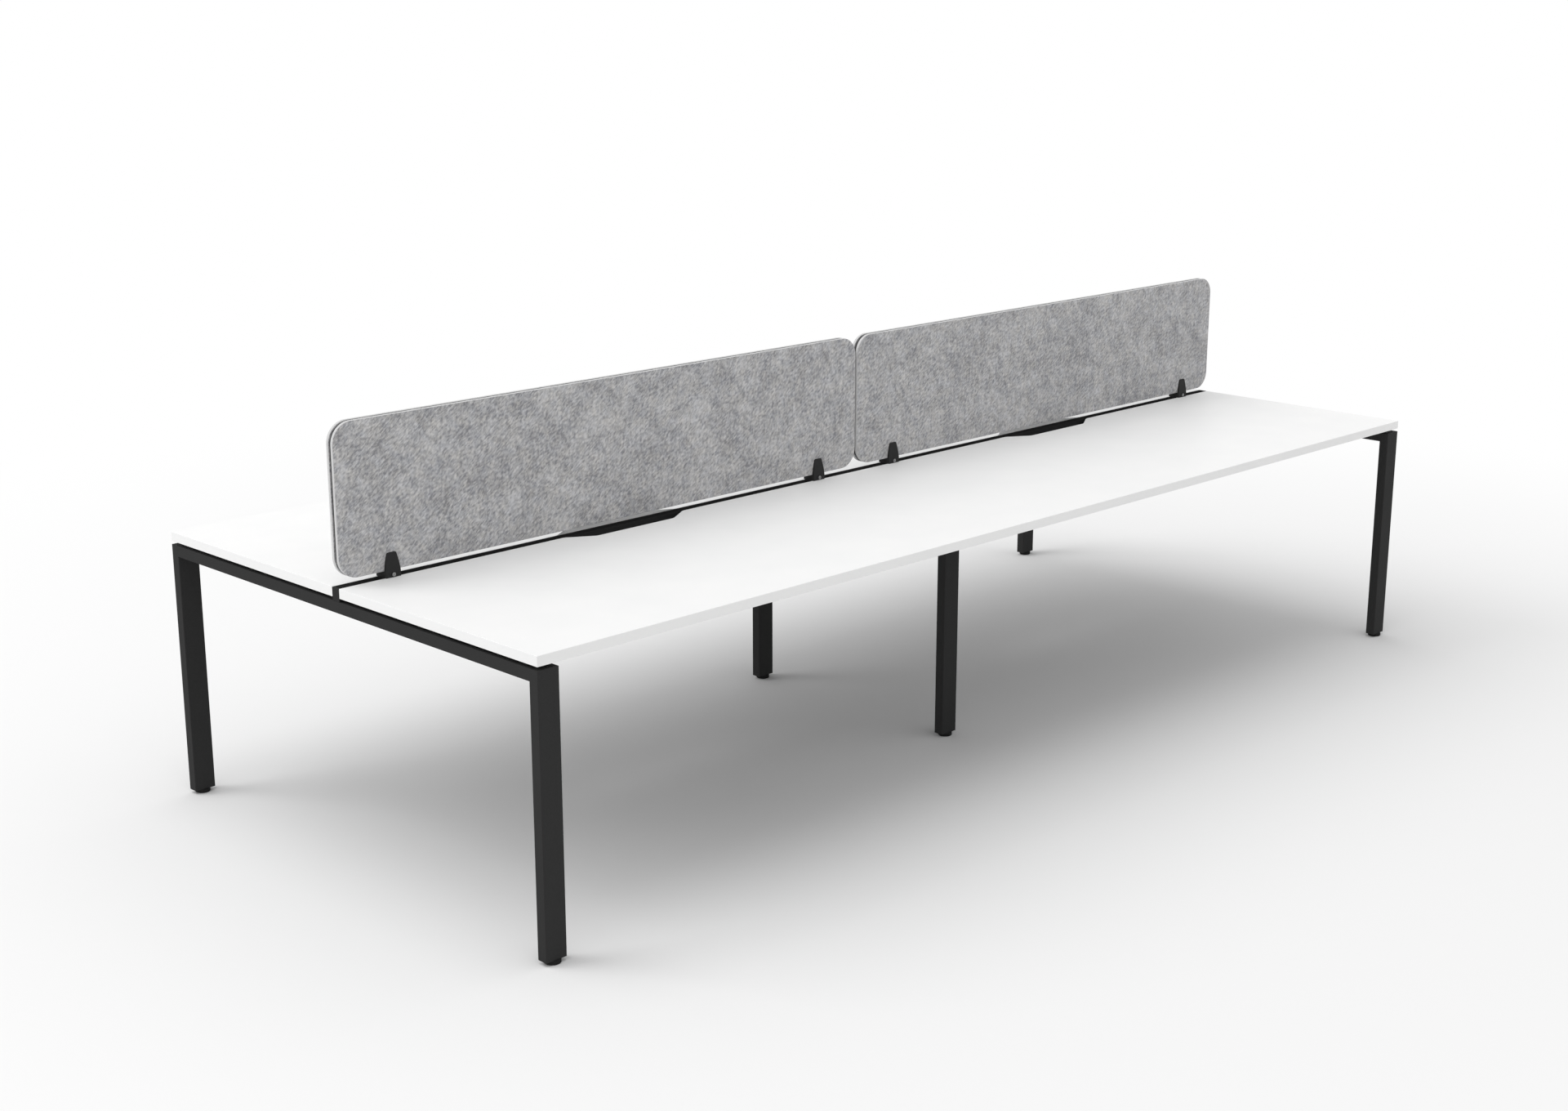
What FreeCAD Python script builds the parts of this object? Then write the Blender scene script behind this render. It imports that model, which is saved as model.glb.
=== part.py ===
import FreeCAD, Part
import math
import os
from FreeCAD import Placement, Rotation, Vector

# Back-to-back workstation: two bays long and two desks deep, on three frames of steel tube.
# Millimetres. The origin is on the floor under the middle, X runs along the desks, Z is up.
# The front faces -Y. Left is -X, seen from the front.

# Worktops
BAY_LENGTH = 1800.0
TOP_DEPTH = 750.0
TOP_THICKNESS = 25.0
DESK_HEIGHT = 730.0
SPINE_GAP = 30.0
EDGE_BAND = 2.0
EDGE_ROUND = 1.0
TOP_CORNER = 2.0

# Cable cut-out in the rear edge of each worktop
CUTOUT_MOUTH = 416.0
CUTOUT_FLAT = 270.0
CUTOUT_DEPTH = 45.0
CUTOUT_ROUND = 25.0

# Frames of rectangular tube
TUBE_WIDTH = 60.0
TUBE_DEPTH = 30.0
TUBE_WALL = 2.0
TUBE_ROUND = 2.0
SHADOW_GAP = 9.0
MIDDLE_LEG_SPREAD = 760.0
MIDDLE_BAR_LENGTH = 1240.0

# Levelling feet and the plugs that hold them
FOOT_RADIUS = 20.0
FOOT_HEIGHT = 10.0
FOOT_CHAMFER = 1.2
STEM_RADIUS = 4.0
STEM_REACH = 35.0
STEM_SEAT = 6.0
STEM_CHAMFER = 0.8
PLUG_HEIGHT = 42.0
THREAD_CLEARANCE = 0.1
PRESS_CLEARANCE = 0.05

# Beams between the frames
BEAM_WIDTH = 40.0
BEAM_HEIGHT = 30.0
BEAM_WALL = 1.5
BEAM_ROUND = 1.5
OUTER_BEAM_OFFSET = 550.0
INNER_BEAM_OFFSET = 180.0
PLATE_THICKNESS = 4.0
PLATE_WIDTH = 96.0
PLATE_HEIGHT = 28.0
BOLT_SPREAD = 68.0
BOLT_RADIUS = 4.0
BOLT_LENGTH = 18.0
BOLT_HEAD_FLATS = 13.0
BOLT_HEAD_HEIGHT = 5.3
BOLT_CLEARANCE = 0.25

# Screws up through the frame into the worktops and the centre rail
SCREW_RADIUS = 2.5
SCREW_BITE = 12.0
SCREW_HEAD_RADIUS = 5.0
SCREW_HEAD_HEIGHT = 3.0
SCREW_CLEARANCE = 0.25
PILOT_CLEARANCE = 0.05
PILOT_RUNOUT = 1.0
SPACER_RADIUS = 12.0
MIDDLE_SCREW_OFFSET = 16.0
CROSSBAR_SCREW_OFFSET = 460.0
BEAM_SCREW_SHARES = (0.25, 0.75)

# Caps on open tube ends
CAP_THICKNESS = 2.0
CAP_SPIGOT = 10.0
CAP_CLEARANCE = 0.1

# Centre rail between the front and rear worktops
RAIL_WIDTH = 28.0
RAIL_WALL = 2.0
RAIL_ROUND = 1.0

# Felt screens
SCREEN_INSET = 4.0
SCREEN_GAP = 17.0
SCREEN_HEIGHT = 383.0
SCREEN_CORNER = 54.0
FELT_THICKNESS = 9.0
CORE_THICKNESS = 9.0
CORE_SETBACK = 4.0

# Screen clamps
INNER_CLAMP_OFFSET = 161.0
OUTER_CLAMP_OFFSET = 153.5
CLAMP_WIDTH = 44.0
CLAMP_TOP_WIDTH = 29.0
CLAMP_HEIGHT = 62.0
CLAMP_SHOULDER = 14.0
CLAMP_BOW = 1.2
CLAMP_TOP_ROUND = 5.0
CLAMP_EDGE_ROUND = 1.0
JAW_THICKNESS = 7.5
JAW_TIP = 3.0
CLAMP_SCREW_HEIGHT = 7.5
CLAMP_SCREW_RADIUS = 2.5
CLAMP_SCREW_LENGTH = 26.0
CLAMP_SCREW_HEAD_RADIUS = 5.0
CLAMP_SCREW_HEAD_HEIGHT = 2.75
CLAMP_SCREW_HEAD_FLAT = 2.8
CLAMP_SCREW_BULGE_SHARE = 1 / 6
CLAMP_SCREW_KEY_FLATS = 3.0
CLAMP_SCREW_KEY_DEPTH = 1.6
BASE_SCREW_SPREAD = 28.0
BASE_SCREW_RADIUS = 2.0
BASE_SCREW_LENGTH = 22.0
BASE_SCREW_HEAD_RADIUS = 4.0
BASE_SCREW_HEAD_HEIGHT = 2.5

# How far a cutting tool runs past what it cuts
OVERRUN = 1.0

# Places that follow from the sizes above
TOP_UNDERSIDE = DESK_HEIGHT - TOP_THICKNESS
FRAME_TOP = TOP_UNDERSIDE - SHADOW_GAP
FRAME_UNDERSIDE = FRAME_TOP - TUBE_DEPTH
HALF_LENGTH = BAY_LENGTH
HALF_DEPTH = SPINE_GAP / 2 + TOP_DEPTH
END_FRAME_X = HALF_LENGTH - TUBE_WIDTH / 2
END_LEG_Y = HALF_DEPTH - TUBE_DEPTH / 2
MIDDLE_LEG_Y = MIDDLE_LEG_SPREAD / 2
BEAM_INNER_X = TUBE_WIDTH / 2
BEAM_OUTER_X = HALF_LENGTH - TUBE_WIDTH
RAIL_HEIGHT = DESK_HEIGHT - FRAME_TOP
SCREEN_THICKNESS = 2 * FELT_THICKNESS + CORE_THICKNESS
SCREEN_WIDTH = BAY_LENGTH - 2 * SCREEN_INSET
SCREEN_BOTTOM = DESK_HEIGHT + SCREEN_GAP
CLAMP_PLACES = (INNER_CLAMP_OFFSET, BAY_LENGTH - OUTER_CLAMP_OFFSET)
SIDES = {"left": -1, "right": 1}
ROWS = {"front": -1, "rear": 1}


def rounded_outline(corners):
    """A closed wire through corner points, each rounded to its own radius."""
    starts = []
    arcs = []
    count = len(corners)
    for index in range(count):
        point, radius = corners[index]
        if radius == 0:
            starts.append((point, point))
            arcs.append(None)
            continue
        before = (corners[index - 1][0] - point).normalize()
        after = (corners[(index + 1) % count][0] - point).normalize()
        half_angle = before.getAngle(after) / 2
        tangent = radius / math.tan(half_angle)
        inward = (before + after).normalize()
        centre = point + inward * (radius / math.sin(half_angle))
        entry = point + before * tangent
        leave = point + after * tangent
        starts.append((entry, leave))
        arcs.append(Part.Arc(entry, centre - inward * radius, leave).toShape())
    edges = []
    for index in range(count):
        if arcs[index]:
            edges.append(arcs[index])
        leave = starts[index][1]
        entry = starts[(index + 1) % count][0]
        edges.append(Part.LineSegment(leave, entry).toShape())
    return Part.Wire(edges)


def rectangle(width, depth, radius):
    """A centred rectangle in the XY plane with round corners, as a face."""
    x = width / 2
    y = depth / 2
    corners = [Vector(-x, -y, 0), Vector(x, -y, 0), Vector(x, y, 0), Vector(-x, y, 0)]
    return Part.Face(rounded_outline([(corner, radius) for corner in corners]))


def tube(width, depth, wall, radius, length):
    """A rectangular tube along +Z from the origin, with sharp inner corners."""
    outer = rectangle(width, depth, radius).extrude(Vector(0, 0, length))
    bore = rectangle(width - 2 * wall, depth - 2 * wall, 0).extrude(Vector(0, 0, length))
    return outer.cut(bore)


def block(size, centre):
    """A box of the given size about a centre point."""
    corner = centre - size / 2
    return Part.makeBox(size.x, size.y, size.z, corner)


def rod(radius, start, direction, length):
    """A round rod from a start point."""
    return Part.makeCylinder(radius, length, start, direction)


def hexagon(flats, start, direction, length):
    """A hexagonal prism from a start point, sized across its flats."""
    across_corners = flats / math.cos(math.pi / 6)
    corners = []
    for index in range(6):
        angle = index * math.pi / 3
        corners.append(Vector(across_corners / 2 * math.cos(angle), across_corners / 2 * math.sin(angle), 0))
    prism = Part.Face(Part.makePolygon(corners + corners[:1])).extrude(Vector(0, 0, length))
    prism.Placement = Placement(start, Rotation(Vector(0, 0, 1), direction))
    return prism


def moved(shape, place):
    """The shape shifted by a vector."""
    copy = shape.copy()
    copy.translate(place)
    return copy


def along_x(shape):
    """Turns a shape made along +Z to lie along +X, its width across Y and its depth up."""
    copy = shape.copy()
    copy.rotate(Vector(0, 0, 0), Vector(0, 0, 1), 90)
    copy.rotate(Vector(0, 0, 0), Vector(0, 1, 0), 90)
    return copy


def along_y(shape):
    """Turns a shape made along +Z to lie along +Y, its width staying across X."""
    copy = shape.copy()
    copy.rotate(Vector(0, 0, 0), Vector(1, 0, 0), -90)
    return copy


def frame_screw_places():
    """Screw positions that tie the worktops to the beams and crossbars, as (x, y)."""
    places = []
    span = BEAM_OUTER_X - BEAM_INNER_X
    for side in SIDES.values():
        for row in ROWS.values():
            for offset in (INNER_BEAM_OFFSET, OUTER_BEAM_OFFSET):
                for share in BEAM_SCREW_SHARES:
                    places.append((side * (BEAM_INNER_X + share * span), row * offset))
            for x in (MIDDLE_SCREW_OFFSET, END_FRAME_X):
                places.append((side * x, row * CROSSBAR_SCREW_OFFSET))
    return places


def rail_screw_places():
    """Screw positions that tie the centre rail to the crossbars, as (x, y)."""
    return [(side * x, 0) for side in SIDES.values() for x in (MIDDLE_SCREW_OFFSET, END_FRAME_X)]


def drilled_up(shape, places, radius, bottom, height):
    """Drills upright holes through a shape at the places that fall inside its plan."""
    box = shape.BoundBox
    holes = []
    for x, y in places:
        if box.XMin < x < box.XMax and box.YMin < y < box.YMax:
            holes.append(rod(radius, Vector(x, y, bottom), Vector(0, 0, 1), height))
    return shape.cut(holes) if holes else shape


def worktop_corner(side, row, along, across):
    """A point on the worktop's outline: along from its outer end, across from its free edge."""
    return Vector(side * (HALF_LENGTH - along), row * (HALF_DEPTH - across), TOP_UNDERSIDE)


def worktop_face(side, row):
    """The plan of one worktop, with the cable cut-out in its spine edge."""
    middle = BAY_LENGTH / 2
    deep = TOP_DEPTH - CUTOUT_DEPTH
    corners = [
        (0, 0, TOP_CORNER),
        (BAY_LENGTH, 0, 0),
        (BAY_LENGTH, TOP_DEPTH, 0),
        (middle + CUTOUT_MOUTH / 2, TOP_DEPTH, CUTOUT_ROUND),
        (middle + CUTOUT_FLAT / 2, deep, CUTOUT_ROUND),
        (middle - CUTOUT_FLAT / 2, deep, CUTOUT_ROUND),
        (middle - CUTOUT_MOUTH / 2, TOP_DEPTH, CUTOUT_ROUND),
        (0, TOP_DEPTH, 0),
    ]
    outline = [(worktop_corner(side, row, along, across), radius) for along, across, radius in corners]
    return Part.Face(rounded_outline(outline))


def upward(face):
    """A board of worktop thickness on a plan face."""
    return face.extrude(Vector(0, 0, TOP_THICKNESS))


def worktop(side, row):
    """The faced board inside the edge band, with pilot holes in its underside."""
    board = upward(worktop_face(side, row).makeOffset2D(-EDGE_BAND))
    radius = SCREW_RADIUS + PILOT_CLEARANCE
    return drilled_up(board, frame_screw_places(), radius, TOP_UNDERSIDE, SCREW_BITE + PILOT_RUNOUT)


def edge_band(side, row):
    """The band round one worktop, eased on its free edges and square where two tops meet."""
    face = worktop_face(side, row)
    outer = upward(face)
    eased = []
    for edge in outer.Edges:
        box = edge.BoundBox
        level = box.ZLength < EDGE_ROUND
        at_joint = max(abs(box.XMin), abs(box.XMax)) < EDGE_ROUND
        if level and not at_joint:
            eased.append(edge)
    return outer.makeFillet(EDGE_ROUND, eased).cut(upward(face.makeOffset2D(-EDGE_BAND)))


def mitre_side(points):
    """A cutter as wide as the tube, from points (y, z) of a side view."""
    x = TUBE_WIDTH / 2 + OVERRUN
    corners = [Vector(-x, y, z) for y, z in points]
    return Part.Face(Part.makePolygon(corners + corners[:1])).extrude(Vector(2 * x, 0, 0))


def bolt_places(offset):
    """The two bolt positions of a beam's end plate, as y values."""
    return (offset - BOLT_SPREAD / 2, offset + BOLT_SPREAD / 2)


def bolt_holes(x, direction):
    """Cutters for every beam bolt that enters a crossbar's side face at x."""
    holes = []
    start = x - direction * OVERRUN
    for row in ROWS.values():
        for offset in (INNER_BEAM_OFFSET, OUTER_BEAM_OFFSET):
            for y in bolt_places(row * offset):
                place = Vector(start, y, FRAME_TOP - TUBE_DEPTH / 2)
                reach = TUBE_WALL + 2 * OVERRUN
                holes.append(rod(BOLT_RADIUS + PILOT_CLEARANCE, place, Vector(direction, 0, 0), reach))
    return holes


def drilled_bar(bar):
    """Drills a crossbar for the worktop and rail screws."""
    places = frame_screw_places() + rail_screw_places()
    radius = SCREW_RADIUS + SCREW_CLEARANCE
    return drilled_up(bar, places, radius, FRAME_UNDERSIDE - OVERRUN, TUBE_DEPTH + 2 * OVERRUN)


def end_crossbar(side):
    """The crossbar of an end frame, mitred to meet its two legs."""
    bar = along_y(tube(TUBE_WIDTH, TUBE_DEPTH, TUBE_WALL, TUBE_ROUND, 2 * HALF_DEPTH))
    bar = moved(bar, Vector(0, -HALF_DEPTH, FRAME_TOP - TUBE_DEPTH / 2))
    inner = HALF_DEPTH - TUBE_DEPTH
    side_view = [
        (-HALF_DEPTH, FRAME_TOP),
        (HALF_DEPTH, FRAME_TOP),
        (inner, FRAME_UNDERSIDE),
        (-inner, FRAME_UNDERSIDE),
    ]
    bar = moved(bar.common(mitre_side(side_view)), Vector(side * END_FRAME_X, 0, 0))
    return drilled_bar(bar).cut(bolt_holes(side * BEAM_OUTER_X, side))


def end_leg(side, row):
    """One leg of an end frame, mitred at the top."""
    post = tube(TUBE_WIDTH, TUBE_DEPTH, TUBE_WALL, TUBE_ROUND, FRAME_TOP - FOOT_HEIGHT)
    post = moved(post, Vector(0, row * END_LEG_Y, FOOT_HEIGHT))
    inner = HALF_DEPTH - TUBE_DEPTH
    side_view = [
        (row * HALF_DEPTH, FOOT_HEIGHT),
        (row * HALF_DEPTH, FRAME_TOP),
        (row * inner, FRAME_UNDERSIDE),
        (row * inner, FOOT_HEIGHT),
    ]
    return moved(post.common(mitre_side(side_view)), Vector(side * END_FRAME_X, 0, 0))


def middle_crossbar():
    """The crossbar of the middle frame, open at its two ends."""
    bar = along_y(tube(TUBE_WIDTH, TUBE_DEPTH, TUBE_WALL, TUBE_ROUND, MIDDLE_BAR_LENGTH))
    bar = moved(bar, Vector(0, -MIDDLE_BAR_LENGTH / 2, FRAME_TOP - TUBE_DEPTH / 2))
    bar = drilled_bar(bar)
    for side in SIDES.values():
        bar = bar.cut(bolt_holes(side * BEAM_INNER_X, -side))
    return bar


def middle_leg(row):
    """A leg of the middle frame, set in from the worktop's free edge and butted under its crossbar."""
    post = tube(TUBE_WIDTH, TUBE_DEPTH, TUBE_WALL, TUBE_ROUND, FRAME_UNDERSIDE - FOOT_HEIGHT)
    return moved(post, Vector(0, row * MIDDLE_LEG_Y, FOOT_HEIGHT))


def cap(width, depth, wall, round_radius):
    """A push-in cap for an open tube end: a plate and a spigot, with the plate's outer face at the origin."""
    plate = rectangle(width, depth, round_radius).extrude(Vector(0, 0, CAP_THICKNESS))
    inside = 2 * (wall + CAP_CLEARANCE)
    spigot = rectangle(width - inside, depth - inside, 0).extrude(Vector(0, 0, CAP_THICKNESS + CAP_SPIGOT))
    return plate.fuse(spigot).removeSplitter()


def crossbar_caps():
    """The caps in the two ends of the middle crossbar."""
    caps = []
    height = FRAME_TOP - TUBE_DEPTH / 2
    for row in ROWS.values():
        end = cap(TUBE_WIDTH, TUBE_DEPTH, TUBE_WALL, TUBE_ROUND)
        end.rotate(Vector(0, 0, 0), Vector(1, 0, 0), row * 90)
        caps.append(moved(end, Vector(0, row * (MIDDLE_BAR_LENGTH / 2 + CAP_THICKNESS), height)))
    return Part.makeCompound(caps)


def leg_places():
    """The middle of every leg in plan, by name."""
    places = {}
    for side_name, side in SIDES.items():
        for row_name, row in ROWS.items():
            places[f"{row_name}_{side_name}"] = Vector(side * END_FRAME_X, row * END_LEG_Y, 0)
    for row_name, row in ROWS.items():
        places[f"{row_name}_middle"] = Vector(0, row * MIDDLE_LEG_Y, 0)
    return places


def leg_plugs():
    """The plugs pressed into the bottom of the legs, bored for the feet's stems."""
    inside = 2 * (TUBE_WALL + CAP_CLEARANCE)
    plug = rectangle(TUBE_WIDTH - inside, TUBE_DEPTH - inside, 0).extrude(Vector(0, 0, PLUG_HEIGHT))
    plug = plug.cut(rod(STEM_RADIUS + THREAD_CLEARANCE, Vector(0, 0, 0), Vector(0, 0, 1), PLUG_HEIGHT))
    plugs = [moved(plug, place + Vector(0, 0, FOOT_HEIGHT)) for place in leg_places().values()]
    return Part.makeCompound(plugs)


def turned(profile):
    """A solid of revolution about Z from points (radius, height)."""
    points = [Vector(radius, 0, height) for radius, height in profile]
    return Part.Face(Part.makePolygon(points + points[:1])).revolve(Vector(0, 0, 0), Vector(0, 0, 1), 360)


def foot_pad(place):
    """The round pad of a levelling foot, with the socket that its stem is set in."""
    seat = FOOT_HEIGHT - STEM_SEAT
    socket = STEM_RADIUS + PRESS_CLEARANCE
    pad = turned([
        (0, 0),
        (FOOT_RADIUS - FOOT_CHAMFER, 0),
        (FOOT_RADIUS, FOOT_CHAMFER),
        (FOOT_RADIUS, FOOT_HEIGHT - FOOT_CHAMFER),
        (FOOT_RADIUS - FOOT_CHAMFER, FOOT_HEIGHT),
        (socket, FOOT_HEIGHT),
        (socket, seat),
        (0, seat),
    ])
    return moved(pad, place)


def foot_stem(place):
    """The threaded stem of a levelling foot, from the pad's socket up into the leg."""
    bottom = FOOT_HEIGHT - STEM_SEAT
    top = FOOT_HEIGHT + STEM_REACH
    stem = turned([
        (0, bottom),
        (STEM_RADIUS, bottom),
        (STEM_RADIUS, top - STEM_CHAMFER),
        (STEM_RADIUS - STEM_CHAMFER, top),
        (0, top),
    ])
    return moved(stem, place)


def beam(side, offset):
    """A beam tube between the end frame and the middle frame, inside its two end plates."""
    length = BEAM_OUTER_X - BEAM_INNER_X - 2 * PLATE_THICKNESS
    bar = along_x(tube(BEAM_WIDTH, BEAM_HEIGHT, BEAM_WALL, BEAM_ROUND, length))
    start = BEAM_INNER_X + PLATE_THICKNESS if side > 0 else PLATE_THICKNESS - BEAM_OUTER_X
    bar = moved(bar, Vector(start, offset, FRAME_TOP - BEAM_HEIGHT / 2))
    radius = SCREW_RADIUS + SCREW_CLEARANCE
    bottom = FRAME_TOP - BEAM_HEIGHT - OVERRUN
    return drilled_up(bar, frame_screw_places(), radius, bottom, BEAM_HEIGHT + 2 * OVERRUN)


def beam_ends():
    """Where every beam meets a crossbar: the face's x, the way into the crossbar and the beam's y."""
    ends = []
    for side in SIDES.values():
        for row in ROWS.values():
            for offset in (INNER_BEAM_OFFSET, OUTER_BEAM_OFFSET):
                ends.append((side * BEAM_INNER_X, -side, row * offset))
                ends.append((side * BEAM_OUTER_X, side, row * offset))
    return ends


def beam_plates():
    """The plates welded to the beam ends, drilled for two bolts each."""
    plates = []
    height = FRAME_TOP - TUBE_DEPTH / 2
    for x, inward, y in beam_ends():
        size = Vector(PLATE_THICKNESS, PLATE_WIDTH, PLATE_HEIGHT)
        plate = block(size, Vector(x - inward * PLATE_THICKNESS / 2, y, height))
        for bolt_y in bolt_places(y):
            start = Vector(x + inward * OVERRUN, bolt_y, height)
            reach = PLATE_THICKNESS + 2 * OVERRUN
            plate = plate.cut(rod(BOLT_RADIUS + BOLT_CLEARANCE, start, Vector(-inward, 0, 0), reach))
        plates.append(plate)
    return Part.makeCompound(plates)


def beam_bolts():
    """The hexagon bolts that hold the end plates to the tapped crossbars."""
    bolts = []
    height = FRAME_TOP - TUBE_DEPTH / 2
    for x, inward, y in beam_ends():
        for bolt_y in bolt_places(y):
            seat = Vector(x - inward * PLATE_THICKNESS, bolt_y, height)
            shank = rod(BOLT_RADIUS, seat, Vector(inward, 0, 0), BOLT_LENGTH)
            head = hexagon(BOLT_HEAD_FLATS, seat, Vector(-inward, 0, 0), BOLT_HEAD_HEIGHT)
            bolts.append(head.fuse(shank))
    return Part.makeCompound(bolts)


def spacers():
    """The discs that hold the worktops clear of the frame."""
    discs = []
    for x, y in frame_screw_places():
        foot = Vector(x, y, FRAME_TOP)
        disc = rod(SPACER_RADIUS, foot, Vector(0, 0, 1), SHADOW_GAP)
        discs.append(disc.cut(rod(SCREW_RADIUS + SCREW_CLEARANCE, foot, Vector(0, 0, 1), SHADOW_GAP)))
    return Part.makeCompound(discs)


def frame_screws():
    """The screws driven up through crossbars and beams into the worktops and the centre rail."""
    screws = []
    length = TUBE_DEPTH + SHADOW_GAP + SCREW_BITE
    head_bottom = FRAME_UNDERSIDE - SCREW_HEAD_HEIGHT
    for x, y in frame_screw_places() + rail_screw_places():
        screw = turned([
            (0, head_bottom),
            (SCREW_HEAD_RADIUS, head_bottom),
            (SCREW_HEAD_RADIUS, FRAME_UNDERSIDE),
            (SCREW_RADIUS, FRAME_UNDERSIDE),
            (SCREW_RADIUS, FRAME_UNDERSIDE + length),
            (0, FRAME_UNDERSIDE + length),
        ])
        screws.append(moved(screw, Vector(x, y, 0)))
    return Part.makeCompound(screws)


def clamp_centres(side):
    """The x of the two clamps on one bay's screen."""
    return [side * place for place in CLAMP_PLACES]


def base_screw_places(side):
    """The two base screws of each clamp on one bay, as (x, y)."""
    half = BASE_SCREW_SPREAD / 2
    return [(x + shift, 0) for x in clamp_centres(side) for shift in (-half, half)]


def centre_rail(side):
    """Half of the rail that fills the slot between the worktops, standing on the crossbars."""
    length = HALF_LENGTH - CAP_THICKNESS
    bar = along_x(tube(RAIL_WIDTH, RAIL_HEIGHT, RAIL_WALL, RAIL_ROUND, length))
    bar = moved(bar, Vector(0 if side > 0 else -length, 0, FRAME_TOP + RAIL_HEIGHT / 2))
    reach = RAIL_WALL + 2 * OVERRUN
    bar = drilled_up(bar, rail_screw_places(), SCREW_RADIUS + PILOT_CLEARANCE, FRAME_TOP - OVERRUN, reach)
    base_radius = BASE_SCREW_RADIUS + PILOT_CLEARANCE
    return drilled_up(bar, base_screw_places(side), base_radius, DESK_HEIGHT - RAIL_WALL - OVERRUN, reach)


def rail_caps():
    """The caps that close the two outer ends of the centre rail."""
    caps = []
    for side in SIDES.values():
        end = along_x(cap(RAIL_WIDTH, RAIL_HEIGHT, RAIL_WALL, RAIL_ROUND))
        if side > 0:
            end.rotate(Vector(0, 0, 0), Vector(0, 0, 1), 180)
        caps.append(moved(end, Vector(side * HALF_LENGTH, 0, FRAME_TOP + RAIL_HEIGHT / 2)))
    return Part.makeCompound(caps)


def screen_layer(side, setback, front_y, thickness):
    """One layer of a screen, from its front face back."""
    width = SCREEN_WIDTH - 2 * setback
    height = SCREEN_HEIGHT - 2 * setback
    sheet = rectangle(width, height, SCREEN_CORNER - setback).extrude(Vector(0, 0, thickness))
    sheet.rotate(Vector(0, 0, 0), Vector(1, 0, 0), 90)
    middle = Vector(side * BAY_LENGTH / 2, front_y + thickness, SCREEN_BOTTOM + SCREEN_HEIGHT / 2)
    return moved(sheet, middle)


def jaw_face():
    """The front view of a clamp jaw: a straight foot, bowed sides and a round-cornered top."""
    foot = CLAMP_WIDTH / 2
    neck = CLAMP_TOP_WIDTH / 2
    rise = CLAMP_HEIGHT - CLAMP_TOP_ROUND
    waist = (foot + neck) / 2 + CLAMP_BOW
    waist_height = (CLAMP_SHOULDER + rise) / 2
    flat = neck - CLAMP_TOP_ROUND
    bend = CLAMP_TOP_ROUND * math.sqrt(2) / 2
    right = Part.Arc(Vector(foot, 0, CLAMP_SHOULDER), Vector(waist, 0, waist_height), Vector(neck, 0, rise))
    elbow = flat + bend
    right_top = Part.Arc(Vector(neck, 0, rise), Vector(elbow, 0, rise + bend), Vector(flat, 0, CLAMP_HEIGHT))
    left_top = Part.Arc(Vector(-flat, 0, CLAMP_HEIGHT), Vector(-elbow, 0, rise + bend), Vector(-neck, 0, rise))
    left = Part.Arc(Vector(-neck, 0, rise), Vector(-waist, 0, waist_height), Vector(-foot, 0, CLAMP_SHOULDER))
    edges = [
        Part.LineSegment(Vector(-foot, 0, 0), Vector(foot, 0, 0)),
        Part.LineSegment(Vector(foot, 0, 0), Vector(foot, 0, CLAMP_SHOULDER)),
        right,
        right_top,
        Part.LineSegment(Vector(flat, 0, CLAMP_HEIGHT), Vector(-flat, 0, CLAMP_HEIGHT)),
        left_top,
        left,
        Part.LineSegment(Vector(-foot, 0, CLAMP_SHOULDER), Vector(-foot, 0, 0)),
    ]
    return Part.Face(Part.Wire([edge.toShape() for edge in edges]))


def jaw():
    """A wedge-shaped jaw whose inner face lies on y = 0 and whose outer face leans back to its tip."""
    plate = jaw_face().extrude(Vector(0, -JAW_THICKNESS, 0))
    x = CLAMP_WIDTH / 2 + OVERRUN
    wedge = [
        Vector(-x, 0, 0),
        Vector(-x, -JAW_THICKNESS, 0),
        Vector(-x, -JAW_THICKNESS, CLAMP_SHOULDER),
        Vector(-x, -JAW_TIP, CLAMP_HEIGHT),
        Vector(-x, 0, CLAMP_HEIGHT),
    ]
    wedge_solid = Part.Face(Part.makePolygon(wedge + wedge[:1])).extrude(Vector(2 * x, 0, 0))
    body = plate.common(wedge_solid)
    return body.makeFillet(CLAMP_EDGE_ROUND, outer_jaw_edges(body))


def outer_jaw_edges(body):
    """The edges round a jaw's outer face, without its foot and the fold where the lean starts."""
    lean = (JAW_THICKNESS - JAW_TIP) / (CLAMP_HEIGHT - CLAMP_SHOULDER)
    edges = []
    for edge in body.Edges:
        middle = edge.valueAt((edge.FirstParameter + edge.LastParameter) / 2)
        outer_y = -JAW_THICKNESS + lean * max(0, middle.z - CLAMP_SHOULDER)
        on_outer_face = abs(middle.y - outer_y) < CLAMP_EDGE_ROUND / 2
        across = abs(middle.x) < CLAMP_EDGE_ROUND
        at_top = middle.z > CLAMP_HEIGHT - CLAMP_EDGE_ROUND
        if on_outer_face and (at_top or not across):
            edges.append(edge)
    return edges


def clamp_screw_start():
    """The middle of the clamp screw's seat on the front jaw of a clamp at x = 0."""
    return Vector(0, -SCREEN_THICKNESS / 2 - JAW_THICKNESS, DESK_HEIGHT + CLAMP_SCREW_HEIGHT)


def front_jaw(x):
    """The front jaw of a clamp, with a plain hole for its screw."""
    plate = moved(jaw(), Vector(0, -SCREEN_THICKNESS / 2, DESK_HEIGHT))
    start = clamp_screw_start() - Vector(0, OVERRUN, 0)
    reach = JAW_THICKNESS + 2 * OVERRUN
    hole = rod(CLAMP_SCREW_RADIUS + SCREW_CLEARANCE, start, Vector(0, 1, 0), reach)
    return moved(plate.cut(hole), Vector(x, 0, 0))


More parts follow.
